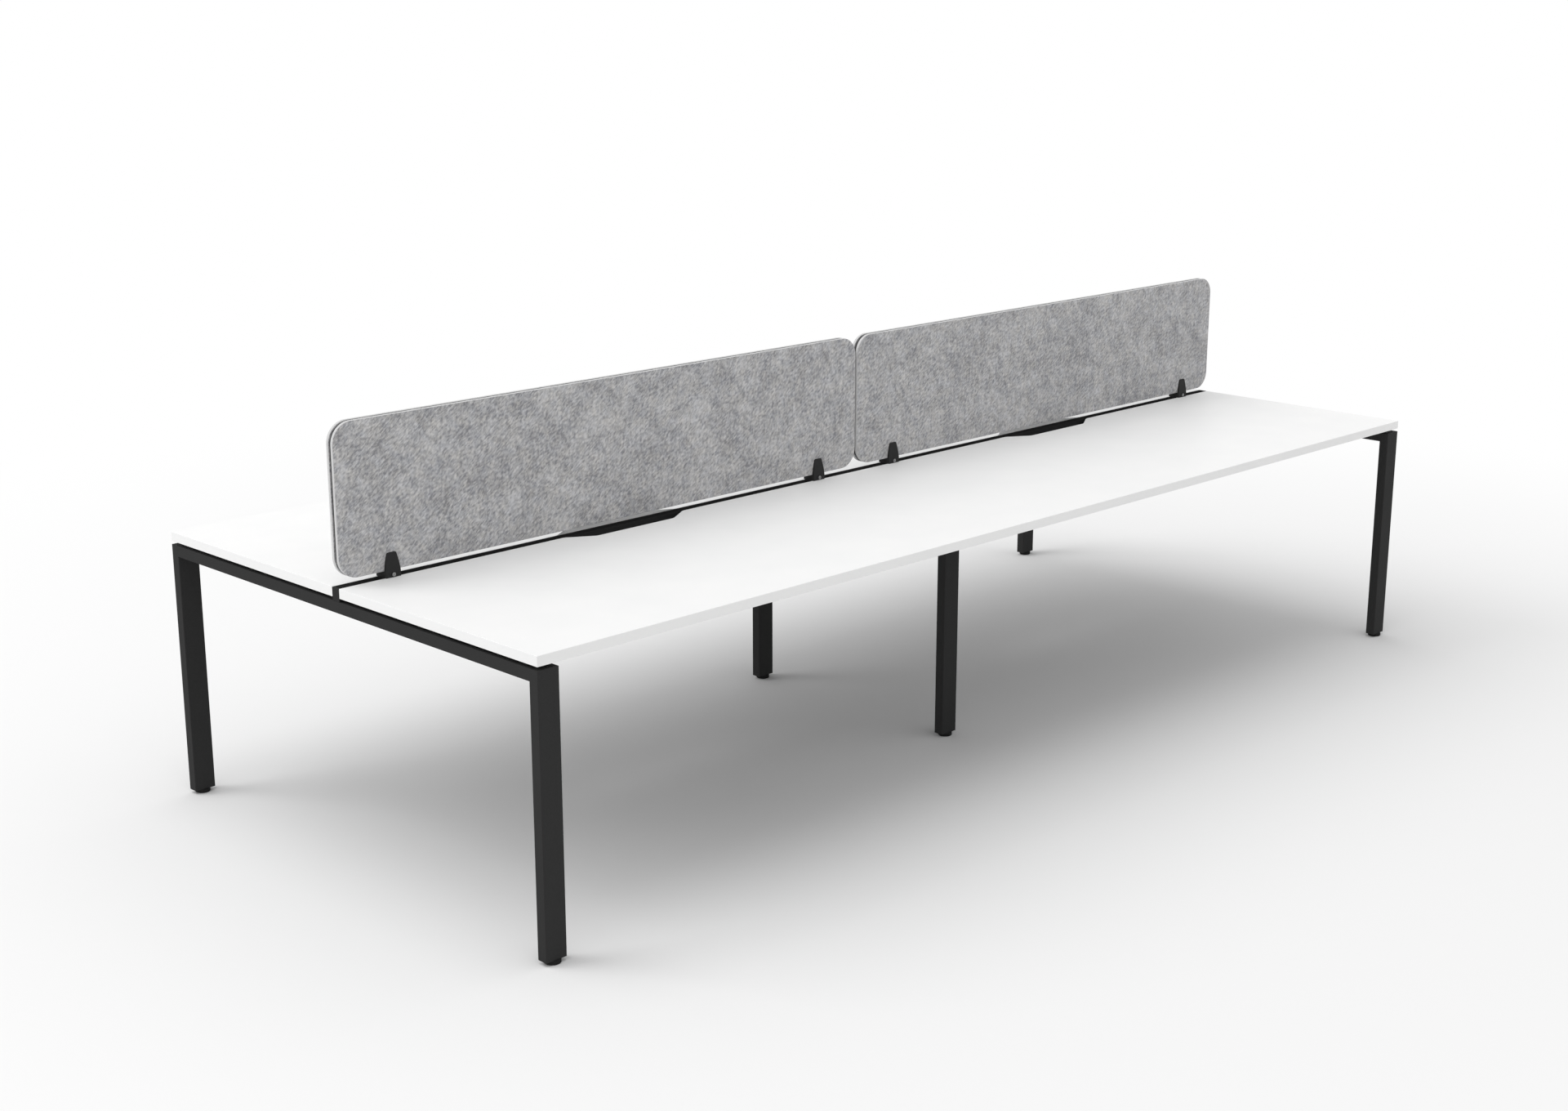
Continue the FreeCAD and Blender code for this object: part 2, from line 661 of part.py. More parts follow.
def rear_jaw(x):
    """The rear jaw and the base that carries the screen's lower edge, in one moulding."""
    back = jaw()
    back.rotate(Vector(0, 0, 0), Vector(0, 0, 1), 180)
    back = moved(back, Vector(0, SCREEN_THICKNESS / 2, DESK_HEIGHT))
    size = Vector(CLAMP_WIDTH, SCREEN_THICKNESS, SCREEN_GAP)
    body = back.fuse(block(size, Vector(0, 0, DESK_HEIGHT + SCREEN_GAP / 2))).removeSplitter()
    start = clamp_screw_start()
    depth = CLAMP_SCREW_LENGTH + PILOT_RUNOUT
    body = body.cut(rod(CLAMP_SCREW_RADIUS + PILOT_CLEARANCE, start, Vector(0, 1, 0), depth))
    head_seat = SCREEN_BOTTOM - BASE_SCREW_HEAD_HEIGHT
    for shift in (-BASE_SCREW_SPREAD / 2, BASE_SCREW_SPREAD / 2):
        foot = Vector(shift, 0, DESK_HEIGHT - OVERRUN)
        reach = SCREEN_GAP + 2 * OVERRUN
        body = body.cut(rod(BASE_SCREW_RADIUS + SCREW_CLEARANCE, foot, Vector(0, 0, 1), reach))
        seat = Vector(shift, 0, head_seat)
        sink = BASE_SCREW_HEAD_HEIGHT + OVERRUN
        body = body.cut(rod(BASE_SCREW_HEAD_RADIUS + SCREW_CLEARANCE, seat, Vector(0, 0, 1), sink))
    return moved(body, Vector(x, 0, 0))


def button_head():
    """A domed socket head standing on the origin along +Z, with its hexagon key recess."""
    rim = Vector(CLAMP_SCREW_HEAD_RADIUS, 0, 0)
    crown = Vector(CLAMP_SCREW_HEAD_FLAT, 0, CLAMP_SCREW_HEAD_HEIGHT)
    halfway = (rim + crown) / 2
    outward = Vector(crown.z, 0, rim.x - crown.x).normalize()
    bulge = outward * (CLAMP_SCREW_HEAD_HEIGHT * CLAMP_SCREW_BULGE_SHARE)
    top = Vector(0, 0, CLAMP_SCREW_HEAD_HEIGHT)
    edges = [
        Part.LineSegment(Vector(0, 0, 0), rim).toShape(),
        Part.Arc(rim, halfway + bulge, crown).toShape(),
        Part.LineSegment(crown, top).toShape(),
        Part.LineSegment(top, Vector(0, 0, 0)).toShape(),
    ]
    dome = Part.Face(Part.Wire(edges)).revolve(Vector(0, 0, 0), Vector(0, 0, 1), 360)
    floor = Vector(0, 0, CLAMP_SCREW_HEAD_HEIGHT - CLAMP_SCREW_KEY_DEPTH)
    return dome.cut(hexagon(CLAMP_SCREW_KEY_FLATS, floor, Vector(0, 0, 1), CLAMP_SCREW_KEY_DEPTH + OVERRUN))


def clamp_screws():
    """The socket screws that draw each front jaw to its base."""
    screw = button_head().fuse(rod(CLAMP_SCREW_RADIUS, Vector(0, 0, 0), Vector(0, 0, -1), CLAMP_SCREW_LENGTH))
    screw.rotate(Vector(0, 0, 0), Vector(1, 0, 0), 90)
    screw = moved(screw, clamp_screw_start())
    return Part.makeCompound([moved(screw, Vector(x, 0, 0)) for x in clamp_xs()])


def clamp_base_screws():
    """The sunk screws that hold each clamp's base to the centre rail."""
    top = SCREEN_BOTTOM
    screw = turned([
        (0, top),
        (BASE_SCREW_HEAD_RADIUS, top),
        (BASE_SCREW_HEAD_RADIUS, top - BASE_SCREW_HEAD_HEIGHT),
        (BASE_SCREW_RADIUS, top - BASE_SCREW_HEAD_HEIGHT),
        (BASE_SCREW_RADIUS, top - BASE_SCREW_LENGTH),
        (0, top - BASE_SCREW_LENGTH),
    ])
    places = base_screw_places(-1) + base_screw_places(1)
    return Part.makeCompound([moved(screw, Vector(x, y, 0)) for x, y in places])


def clamp_xs():
    """The x of all four clamps, from left to right."""
    return sorted(clamp_centres(-1) + clamp_centres(1))


def worktop_pieces():
    """Worktops and their edge bands."""
    pieces = {}
    bands = []
    for side_name, side in SIDES.items():
        for row_name, row in ROWS.items():
            pieces[f"worktop_{row_name}_{side_name}"] = worktop(side, row)
            bands.append(edge_band(side, row))
    pieces["edge_bands"] = Part.makeCompound(bands)
    return pieces


def frame_pieces():
    """The three tube frames with their plugs and caps."""
    pieces = {}
    for side_name, side in SIDES.items():
        pieces[f"crossbar_{side_name}"] = end_crossbar(side)
        for row_name, row in ROWS.items():
            pieces[f"leg_{row_name}_{side_name}"] = end_leg(side, row)
    pieces["crossbar_middle"] = middle_crossbar()
    for row_name, row in ROWS.items():
        pieces[f"leg_{row_name}_middle"] = middle_leg(row)
    pieces["crossbar_caps"] = crossbar_caps()
    pieces["leg_plugs"] = leg_plugs()
    return pieces


def foot_pieces():
    """The six levelling feet."""
    pieces = {}
    for name, place in leg_places().items():
        pieces[f"foot_pad_{name}"] = foot_pad(place)
        pieces[f"foot_stem_{name}"] = foot_stem(place)
    return pieces


def beam_pieces():
    """The beams, their plates and bolts, and what fixes the worktops to them."""
    pieces = {}
    for side_name, side in SIDES.items():
        for row_name, row in ROWS.items():
            pieces[f"beam_{row_name}_{side_name}_outer"] = beam(side, row * OUTER_BEAM_OFFSET)
            pieces[f"beam_{row_name}_{side_name}_inner"] = beam(side, row * INNER_BEAM_OFFSET)
    pieces["beam_end_plates"] = beam_plates()
    pieces["beam_bolts"] = beam_bolts()
    pieces["worktop_spacers"] = spacers()
    pieces["frame_screws"] = frame_screws()
    return pieces


def screen_pieces():
    """The centre rail, the felt screens and the clamps that hold them."""
    pieces = {}
    face = -SCREEN_THICKNESS / 2
    for name, side in SIDES.items():
        pieces[f"centre_rail_{name}"] = centre_rail(side)
        pieces[f"screen_{name}_front_felt"] = screen_layer(side, 0, face, FELT_THICKNESS)
        core_y = face + FELT_THICKNESS
        pieces[f"screen_{name}_core"] = screen_layer(side, CORE_SETBACK, core_y, CORE_THICKNESS)
        pieces[f"screen_{name}_rear_felt"] = screen_layer(side, 0, -face - FELT_THICKNESS, FELT_THICKNESS)
    pieces["rail_caps"] = rail_caps()
    for number, x in enumerate(clamp_xs(), start=1):
        pieces[f"clamp_{number}_front_jaw"] = front_jaw(x)
        pieces[f"clamp_{number}_rear_jaw"] = rear_jaw(x)
    pieces["clamp_screws"] = clamp_screws()
    pieces["clamp_base_screws"] = clamp_base_screws()
    return pieces


def main():
    """Builds every piece and writes one file for each."""
    os.makedirs("parts", exist_ok=True)
    pieces = {}
    for group in (worktop_pieces, frame_pieces, foot_pieces, beam_pieces, screen_pieces):
        pieces.update(group())
    for name, shape in pieces.items():
        shape.exportStep(f"parts/{name}.step")
        state = "valid" if shape.isValid() else "INVALID"
        print(name, len(shape.Solids), "solids", round(shape.Volume), "mm3", state)
    print(len(pieces), "pieces")


main()
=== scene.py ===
# %% [markdown]
# # A back-to-back workstation
# Four white worktops stand in two rows on three black tube frames. Two felt
# screens stand between the rows, each held by two clamps on a narrow rail.
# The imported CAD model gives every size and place, so this lesson only adds
# finishes, light and the pieces that CAD keeps plain. The model is loaded
# first, because every later piece takes its place from it.

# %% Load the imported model
from math import cos, hypot, pi, radians, sin

import bmesh
import bpy
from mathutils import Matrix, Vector, noise


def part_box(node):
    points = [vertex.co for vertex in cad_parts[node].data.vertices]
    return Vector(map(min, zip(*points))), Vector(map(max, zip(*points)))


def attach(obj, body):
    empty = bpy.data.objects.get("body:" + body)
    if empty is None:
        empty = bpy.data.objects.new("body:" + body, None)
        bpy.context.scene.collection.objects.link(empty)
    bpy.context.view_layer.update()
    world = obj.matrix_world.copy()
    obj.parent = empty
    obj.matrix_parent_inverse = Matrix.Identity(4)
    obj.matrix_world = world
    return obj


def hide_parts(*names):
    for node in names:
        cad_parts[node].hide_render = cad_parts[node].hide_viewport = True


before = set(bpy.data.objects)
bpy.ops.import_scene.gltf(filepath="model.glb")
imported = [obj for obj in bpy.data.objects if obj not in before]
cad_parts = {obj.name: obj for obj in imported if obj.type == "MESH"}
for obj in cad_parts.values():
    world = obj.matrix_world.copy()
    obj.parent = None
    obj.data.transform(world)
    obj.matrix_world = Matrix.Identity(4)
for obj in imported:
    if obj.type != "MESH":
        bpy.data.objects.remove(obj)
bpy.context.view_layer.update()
scene = bpy.context.scene

# %% [markdown]
# ## The camera
# The photograph looks down on one corner of the desks. Its lens and place were
# worked out from the corners of the tops and feet, whose real sizes are known.
# A plain perspective camera with no shift then shows the same frame.

# %% Camera
LENS_MM = 49.875
SENSOR_MM = 36.0
CAMERA_PLACE = (-4.5717, -4.2889, 2.1458)
CAMERA_TILT_DEG = 75.017
CAMERA_YAW_DEG = -44.986

camera_data = bpy.data.cameras.new("photo_camera")
camera_data.lens = LENS_MM
camera_data.sensor_width = SENSOR_MM
camera = bpy.data.objects.new("photo_camera", camera_data)
camera.location = CAMERA_PLACE
camera.rotation_euler = (radians(CAMERA_TILT_DEG), 0.0, radians(CAMERA_YAW_DEG))
scene.collection.objects.link(camera)
scene.camera = camera
scene.view_settings.view_transform = "Standard"
print("camera at", CAMERA_PLACE)

# %% [markdown]
# ## Node helpers
# Materials, the world and the geometry trees are all node graphs. Making each
# node by hand takes many lines, so a few small helpers add a node, set its
# options and fill its inputs with either a plain value or another output.

# %% Helpers for node graphs
# Places of the colour sockets on a Mix node, which has others for plain numbers.
MIX_FACTOR = 0
MIX_FIRST = 6
MIX_SECOND = 7
MIX_RESULT = 2


def connect(tree, value, socket):
    """Fill one input with another node's output or with a plain value."""
    if isinstance(value, bpy.types.NodeSocket):
        tree.links.new(value, socket)
    else:
        socket.default_value = value


def add(tree, kind, settings=(), **inputs):
    """Add one node. An input's spaces are written as underscores."""
    node = tree.nodes.new(kind)
    for key, value in dict(settings).items():
        setattr(node, key, value)
    for label, value in inputs.items():
        connect(tree, value, node.inputs[label.replace("_", " ")])
    return node


def maths(tree, operation, first, second):
    """One sum, product or comparison of two values."""
    node = add(tree, "ShaderNodeMath", {"operation": operation})
    connect(tree, first, node.inputs[0])
    connect(tree, second, node.inputs[1])
    return node.outputs[0]


def blend(tree, factor, first, second, how="MIX"):
    """Mix two colours."""
    node = add(tree, "ShaderNodeMix", {"data_type": "RGBA", "blend_type": how})
    connect(tree, factor, node.inputs[MIX_FACTOR])
    connect(tree, first, node.inputs[MIX_FIRST])
    connect(tree, second, node.inputs[MIX_SECOND])
    return node.outputs[MIX_RESULT]


def either_shader(tree, factor, first, second):
    """One shader where the factor is 0 and another where it is 1."""
    node = add(tree, "ShaderNodeMixShader")
    for socket, value in zip(node.inputs, (factor, first, second)):
        tree.links.new(value, socket)
    return node.outputs[0]


def grey(level):
    """A neutral colour."""
    return (level, level, level, 1.0)


print("node helpers are ready")

# %% [markdown]
# ## Light
# The photograph has an even white studio. An even world gives the fill, and
# two wide disc lamps far away give the soft shade: a broad one almost overhead,
# and a smaller, lower one behind on the left, which draws a faint shadow out
# from each leg. A picture of a studio could light the desks too, but plain
# lamps can be set one at a time. The camera and reflections see a world of
# plain white.

# %% World and lamps
FILL_LEVEL = 0.69
WHITE_LEVEL = 1.0
LAMP_DISTANCE = 25.0
# Each lamp: share of full light, the way it stands from the desks, radius.
LAMPS = {
    "broad_overhead_light": (0.25, (-0.20, 0.02, 0.97), 10.3),
    "low_rear_light": (0.21, (-0.60, 0.46, 0.66), 7.0),
}


def seen_rays(tree):
    """1 for what the camera sees straight, in a reflection or through glass."""
    rays = add(tree, "ShaderNodeLightPath").outputs
    seen = maths(tree, "MAXIMUM", rays["Is Camera Ray"], rays["Is Glossy Ray"])
    return maths(tree, "MAXIMUM", seen, rays["Is Transmission Ray"])


def studio_world():
    """Even fill light that shows as plain white."""
    world = bpy.data.worlds.new("soft_studio")
    world.use_nodes = True
    tree = world.node_tree
    tree.nodes.clear()
    white = grey(WHITE_LEVEL)
    fill = add(tree, "ShaderNodeBackground", Color=white, Strength=FILL_LEVEL)
    shown = add(tree, "ShaderNodeBackground", Color=white, Strength=WHITE_LEVEL)
    both = either_shader(tree, seen_rays(tree), fill.outputs[0], shown.outputs[0])
    add(tree, "ShaderNodeOutputWorld", Surface=both)
    return world


def disc_lamp(name, share, way, radius):
    """A far disc lamp whose light on a surface that faces it is a share of full white."""
    data = bpy.data.lights.new(name, "AREA")
    data.shape = "DISK"
    data.size = 2 * radius
    apparent_share = radius ** 2 / (radius ** 2 + LAMP_DISTANCE ** 2)
    data.energy = share * pi * (pi * radius ** 2) / apparent_share
    lamp = bpy.data.objects.new(name, data)
    lamp.location = Vector(way).normalized() * LAMP_DISTANCE
    lamp.rotation_euler = Vector(way).to_track_quat("Z", "Y").to_euler()
    lamp.visible_camera = False
    scene.collection.objects.link(lamp)


scene.world = studio_world()
for lamp_name, lamp_row in LAMPS.items():
    disc_lamp(lamp_name, *lamp_row)
print("lights:", FILL_LEVEL, "fill and", len(LAMPS), "lamps")

# %% [markdown]
# ## Floor
# The floor has to hold the desks' shadow and still run into the white behind
# them. A wide curved backdrop would do that from one side only, so this floor
# is a flat matt sheet that turns to white away from the desks, for the camera
# and reflections alone. Light that goes to and fro between the floor and the
# boards is damped, so the shade under the tops stays deep. From below, the
# floor is clear.

# %% Floor
FLOOR_LEVEL = 0.89
FLOOR_RETURN = 0.30
FIRST_BOUNCE = 1.5
FLOOR_REACH = 60.0
FLOOR_DROP = 0.0003
# Distances from the middle where the floor starts to turn white and where it is white.
SHADE_REACH = (2.2, 5.0)


def floor_shade(tree):
    """The matt floor, darker for light that comes back to it from above."""
    shader = tree.nodes["Principled BSDF"]
    shader.inputs["Roughness"].default_value = 1.0
    shader.inputs["Specular IOR Level"].default_value = 0.0
    bounces = add(tree, "ShaderNodeLightPath").outputs["Diffuse Depth"]
    returned = maths(tree, "GREATER_THAN", bounces, FIRST_BOUNCE)
    colour = blend(tree, returned, grey(FLOOR_LEVEL), grey(FLOOR_RETURN))
    tree.links.new(colour, shader.inputs["Base Color"])
    return shader.outputs[0]


def far_floor(tree):
    """0 near the desks and 1 far from them, where the floor is seen."""
    place = add(tree, "ShaderNodeTexCoord").outputs["Object"]
    from_desks = add(tree, "ShaderNodeVectorMath", {"operation": "LENGTH"})
    tree.links.new(place, from_desks.inputs[0])
    start, end = SHADE_REACH
    away = add(tree, "ShaderNodeMapRange", {"interpolation_type": "SMOOTHSTEP"},
               Value=from_desks.outputs["Value"], From_Min=start, From_Max=end)
    return maths(tree, "MULTIPLY", away.outputs["Result"], seen_rays(tree))


def floor_finish():
    """Shade near the desks, white further off and nothing from below."""
    material = bpy.data.materials.new("pale_floor")
    material.use_nodes = True
    tree = material.node_tree
    white = add(tree, "ShaderNodeEmission", Color=grey(WHITE_LEVEL), Strength=WHITE_LEVEL)
    top = either_shader(tree, far_floor(tree), floor_shade(tree), white.outputs[0])
    below = add(tree, "ShaderNodeNewGeometry").outputs["Backfacing"]
    clear = add(tree, "ShaderNodeBsdfTransparent").outputs[0]
    surface = either_shader(tree, below, top, clear)
    tree.links.new(surface, tree.nodes["Material Output"].inputs["Surface"])
    return material


floor_mesh = bpy.data.meshes.new("floor")
floor_signs = [(-1, -1), (1, -1), (1, 1), (-1, 1)]
floor_mesh.from_pydata(
    [(x * FLOOR_REACH, y * FLOOR_REACH, -FLOOR_DROP) for x, y in floor_signs],
    [], [(0, 1, 2, 3)])
floor_mesh.materials.append(floor_finish())
floor = bpy.data.objects.new("floor", floor_mesh)
scene.collection.objects.link(floor)
print("floor turns white from", SHADE_REACH[0], "to", SHADE_REACH[1], "m")

# %% [markdown]
# ## Texture helpers
# Every finish here is made of noise at more than one scale, read from Object
# coordinates, which are metres in the CAD frame. A Mapping node of the Texture
# kind stretches the pattern along its own axes and then turns it, so fibres
# can lie at any angle. A ramp turns noise into colour, and a range turns it
# into roughness.

# %% Helpers for finishes
NOISE_LOW_SHARE = 0.3
NOISE_HIGH_SHARE = 0.7
EVEN = (1.0, 1.0, 1.0)
PLAIN_DETAIL = 2.0


def start_finish(name, gloss):
    """A new material with its graph, shader and Object coordinates."""
    material = bpy.data.materials.new(name)
    material.use_nodes = True
    tree = material.node_tree
    shader = tree.nodes["Principled BSDF"]
    shader.inputs["Specular IOR Level"].default_value = gloss
    place = add(tree, "ShaderNodeTexCoord").outputs["Object"]
    return material, tree, shader, place


def speckle(tree, place, scale, detail=PLAIN_DETAIL, stretch=EVEN, turn_deg=0.0):
    """Noise that can be stretched and turned in the plane of the screens."""
    mapping = add(tree, "ShaderNodeMapping", {"vector_type": "TEXTURE"}, Vector=place,
                  Rotation=(0.0, radians(turn_deg), 0.0), Scale=stretch)
    made = add(tree, "ShaderNodeTexNoise", Vector=mapping.outputs[0], Scale=scale,
               Detail=detail)
    return made.outputs[0]


def ramp(tree, factor, low_colour, high_colour, ends=(NOISE_LOW_SHARE, NOISE_HIGH_SHARE)):
    """Noise to colour."""
    made = add(tree, "ShaderNodeValToRGB", Fac=factor)
    first, last = made.color_ramp.elements
    first.position, last.position = ends
    first.color = low_colour
    last.color = high_colour
    return made.outputs["Color"]


def spread(tree, factor, low, high):
    """Noise to a number between low and high."""
    made = add(tree, "ShaderNodeMapRange", Value=factor, From_Min=NOISE_LOW_SHARE,
               From_Max=NOISE_HIGH_SHARE, To_Min=low, To_Max=high)
    return made.outputs["Result"]


def relief(tree, shader, height, strength, depth):
    """Fine bumps, deep as given in metres."""
    made = add(tree, "ShaderNodeBump", Strength=strength, Distance=depth, Height=height)
    tree.links.new(made.outputs["Normal"], shader.inputs["Normal"])


print("texture helpers are ready")

# %% [markdown]
# ## White boards and their edging
# The tops are chipboard faced with white melamine, which has a fine pearl
# texture and a soft sheen. The edging is a smoother extruded strip with faint
# lines along it. Both use the same white, so the edge shows only by its shade.
# A flat colour would do from afar. Close up the sheen has to break, so fine
# noise drives both the roughness and the relief.

# %% White finishes
WHITE_LOW = (0.892, 0.894, 0.892, 1.0)
WHITE_HIGH = (0.912, 0.912, 0.908, 1.0)
WHITE_GLOSS = 0.1
CLOUD_SCALE = 7.0
CLOUD_DETAIL = 3.0
FACING_DEPTH = 0.00012
EDGING_STRETCH = (30.0, 30.0, 1.0)
# Each finish: scale of its grain, stretch, strength of the relief, range of roughness.
WHITES = {
    "white_melamine": (950.0, EVEN, 0.35, (0.40, 0.50)),
    "white_edging": (700.0, EDGING_STRETCH, 0.2, (0.33, 0.42)),
}


def white_finish(name, grain, stretch, strength, rough):
    """White facing: even colour, fine grain and a soft sheen."""
    material, tree, shader, place = start_finish(name, WHITE_GLOSS)
    broad = speckle(tree, place, CLOUD_SCALE, CLOUD_DETAIL)
    fine = speckle(tree, place, grain, stretch=stretch)
    colour = ramp(tree, broad, WHITE_LOW, WHITE_HIGH)
    tree.links.new(colour, shader.inputs["Base Color"])
    tree.links.new(spread(tree, fine, *rough), shader.inputs["Roughness"])
    relief(tree, shader, fine, strength, FACING_DEPTH)
    return material


melamine, edging = [white_finish(name, *row) for name, row in WHITES.items()]
print("made", melamine.name, "and", edging.name)

# %% [markdown]
# ## Black finishes
# Everything black is a different surface up close: powder coat has a soft
# orange peel over a fine grain, the rail has drawn lines along its length, and
# the clamps, caps and feet are moulded with a spark-eroded grain. One function
# makes them all from a level, a grain and a roughness.

# %% Black finishes
GRAIN_SPREAD_SHARE = 0.22
PEEL_SCALE = 260.0
PEEL_DETAIL = 1.0
PEEL_SHARE = 0.4
DUST_SCALE = 9.0
DUST_DETAIL = 4.0
GRAIN_DEPTH = 0.00015
RAIL_STRETCH = (160.0, 1.0, 1.0)
# Each finish: grey level, scale of its grain, stretch, strength of the relief,
# range of roughness, gloss.
BLACKS = {
    "black_powder_coat": (0.035, 1500.0, EVEN, 0.30, (0.58, 0.68), 0.04),
    "black_drawn_rail": (0.024, 900.0, RAIL_STRETCH, 0.20, (0.60, 0.70), 0.0),
    "black_moulding": (0.024, 2300.0, EVEN, 0.30, (0.58, 0.68), 0.08),
    "black_clamp_moulding": (0.028, 2000.0, EVEN, 0.35, (0.52, 0.62), 0.09),
    "black_foot_moulding": (0.018, 1800.0, EVEN, 0.35, (0.60, 0.70), 0.06),
}


def black_finish(name, level, grain, stretch, strength, rough, gloss):
    """Black coat or plastic: grain in the colour, roughness and relief."""
    material, tree, shader, place = start_finish(name, gloss)
    fine = speckle(tree, place, grain, stretch=stretch)
    peel = speckle(tree, place, PEEL_SCALE, PEEL_DETAIL)
    dust = speckle(tree, place, DUST_SCALE, DUST_DETAIL)
    dark = grey(level * (1.0 - GRAIN_SPREAD_SHARE))
    light = grey(level * (1.0 + GRAIN_SPREAD_SHARE))
    tree.links.new(ramp(tree, fine, dark, light), shader.inputs["Base Color"])
    tree.links.new(spread(tree, dust, *rough), shader.inputs["Roughness"])
    height = maths(tree, "ADD", fine, maths(tree, "MULTIPLY", peel, PEEL_SHARE))
    relief(tree, shader, height, strength, GRAIN_DEPTH)
    return material


blacks = [black_finish(name, *row) for name, row in BLACKS.items()]
powder_coat, rail_black, moulded, clamp_black, foot_black = blacks
print("made", len(blacks), "black finishes")

# %% [markdown]
# ## Plated fixings
# Screws, bolts and levelling stems are zinc plate over steel: a metal with a
# slightly uneven sheen from handling and from the plating's fine crystals. The
# clamp screws that face the user are a duller grey steel. A metal of one even
# colour would look like chrome, so noise breaks up both colour and roughness.

# %% Metal finishes
METAL_GLOSS = 0.5
CRYSTAL_SCALE = 600.0
CRYSTAL_DETAIL = 4.0
# Each finish: darkest and lightest grey, range of roughness.
METALS = {
    "bright_zinc": (0.60, 0.76, (0.22, 0.38)),
    "dull_steel": (0.26, 0.38, (0.35, 0.50)),
}


def metal_finish(name, low_level, high_level, rough):
    """Plated steel with fine crystals in its colour and sheen."""
    material, tree, shader, place = start_finish(name, METAL_GLOSS)
    shader.inputs["Metallic"].default_value = 1.0
    crystals = speckle(tree, place, CRYSTAL_SCALE, CRYSTAL_DETAIL)
    colour = ramp(tree, crystals, grey(low_level), grey(high_level))
    tree.links.new(colour, shader.inputs["Base Color"])
    tree.links.new(spread(tree, crystals, *rough), shader.inputs["Roughness"])
    return material


zinc, dull_steel = [metal_finish(name, *row) for name, row in METALS.items()]
print("made", zinc.name, "and", dull_steel.name)

# %% [markdown]
# ## Grey felt
# The screens are faced with pressed felt, mixed from light and dark fibres.
# From a step away it looks clouded, with patches a few centimetres across,
# short strokes that lean one way, faint upright streaks from the pressing line
# and a slight drift between warm and cool. Close up there are fine fibres that
# cross. A picture of felt would repeat, so the pattern is built from noise:
# each layer is stretched along its own direction, and their weighted sum runs
# through one ramp. The cut edge shows the paler inside of the sheet, and an
# attribute on the mesh says where that is.

# %% Felt finish
CUT_EDGE = "cut_edge"
FELT_DARK = (0.250, 0.2515, 0.2635, 1.0)
FELT_LIGHT = (0.610, 0.607, 0.605, 1.0)
FELT_CUT_DARK = grey(0.52)
FELT_CUT_LIGHT = grey(0.74)
CORE_DARK = grey(0.040)
CORE_LIGHT = grey(0.075)
FELT_COOL = (0.956, 0.966, 1.0, 1.0)
FELT_WARM = (1.0, 0.983, 0.962, 1.0)
TINT_SCALE = 45.0
TINT_DETAIL = 3.0
CUT_SCALE = 1100.0
CUT_DETAIL = 3.0
# Each layer: weight, scale, detail, stretch along its run, turn in degrees.
FELT_LAYERS = {
    "patches": (0.15, 24.0, 3.0, EVEN, 0.0),
    "long_strokes": (0.27, 150.0, 4.0, (2.2, 1.0, 1.0), -38.0),
    "clouds": (0.08, 7.0, 2.0, (1.0, 1.0, 1.5), 0.0),
    "upright_streaks": (0.09, 150.0, 2.0, (1.0, 1.0, 6.0), 0.0),
    "short_strokes": (0.24, 300.0, 3.0, (2.8, 1.0, 1.0), -40.0),
    "fibres": (0.09, 850.0, 2.0, (12.0, 1.0, 1.0), -33.0),
    "crossing_fibres": (0.08, 950.0, 2.0, (14.0, 1.0, 1.0), 52.0),
}
# The sums of the layers that come out darkest and lightest.
FELT_ENDS = (0.433, 0.567)
FELT_GLOSS = 0.1
FELT_ROUGHNESS = 0.95
FELT_SHEEN = 0.1
FELT_SHEEN_ROUGHNESS = 0.6
FELT_RELIEF = 0.6
FELT_DEPTH = 0.0006


def felt_tone(tree, place):
    """The weighted sum of the felt's layers of noise."""
    total = 0.0
    for weight, scale, detail, stretch, turn in FELT_LAYERS.values():
        layer = speckle(tree, place, scale, detail, stretch, turn)
        total = maths(tree, "ADD", total, maths(tree, "MULTIPLY", layer, weight))
    return total


def felt_finish(name, dark, light, cut_dark, cut_light):
    """Clouded felt with a paler cut edge."""
    material, tree, shader, place = start_finish(name, FELT_GLOSS)
    tone = felt_tone(tree, place)
    face = ramp(tree, tone, dark, light, FELT_ENDS)
    tint = ramp(tree, speckle(tree, place, TINT_SCALE, TINT_DETAIL), FELT_COOL, FELT_WARM)
    face = blend(tree, 1.0, face, tint, "MULTIPLY")
    cut = ramp(tree, speckle(tree, place, CUT_SCALE, CUT_DETAIL), cut_dark, cut_light)
    edge = add(tree, "ShaderNodeAttribute", {"attribute_name": CUT_EDGE})
    tree.links.new(blend(tree, edge.outputs["Fac"], face, cut), shader.inputs["Base Color"])
    shader.inputs["Roughness"].default_value = FELT_ROUGHNESS
    shader.inputs["Sheen Weight"].default_value = FELT_SHEEN
    shader.inputs["Sheen Roughness"].default_value = FELT_SHEEN_ROUGHNESS
    relief(tree, shader, tone, FELT_RELIEF, FELT_DEPTH)
    return material


grey_felt = felt_finish("grey_felt", FELT_DARK, FELT_LIGHT, FELT_CUT_DARK, FELT_CUT_LIGHT)
core_board = felt_finish("dark_core_board", CORE_DARK, CORE_LIGHT, CORE_DARK, CORE_LIGHT)
print("made", grey_felt.name, "with", len(FELT_LAYERS), "layers")

# %% [markdown]
# ## Dressing the CAD nodes
# Nodes whose shape is right keep it and only get a finish. Those that a later
# piece stands for get one too, so that no node is bare. The list is read from
# the top, so a group with a longer name stands above the shorter one.

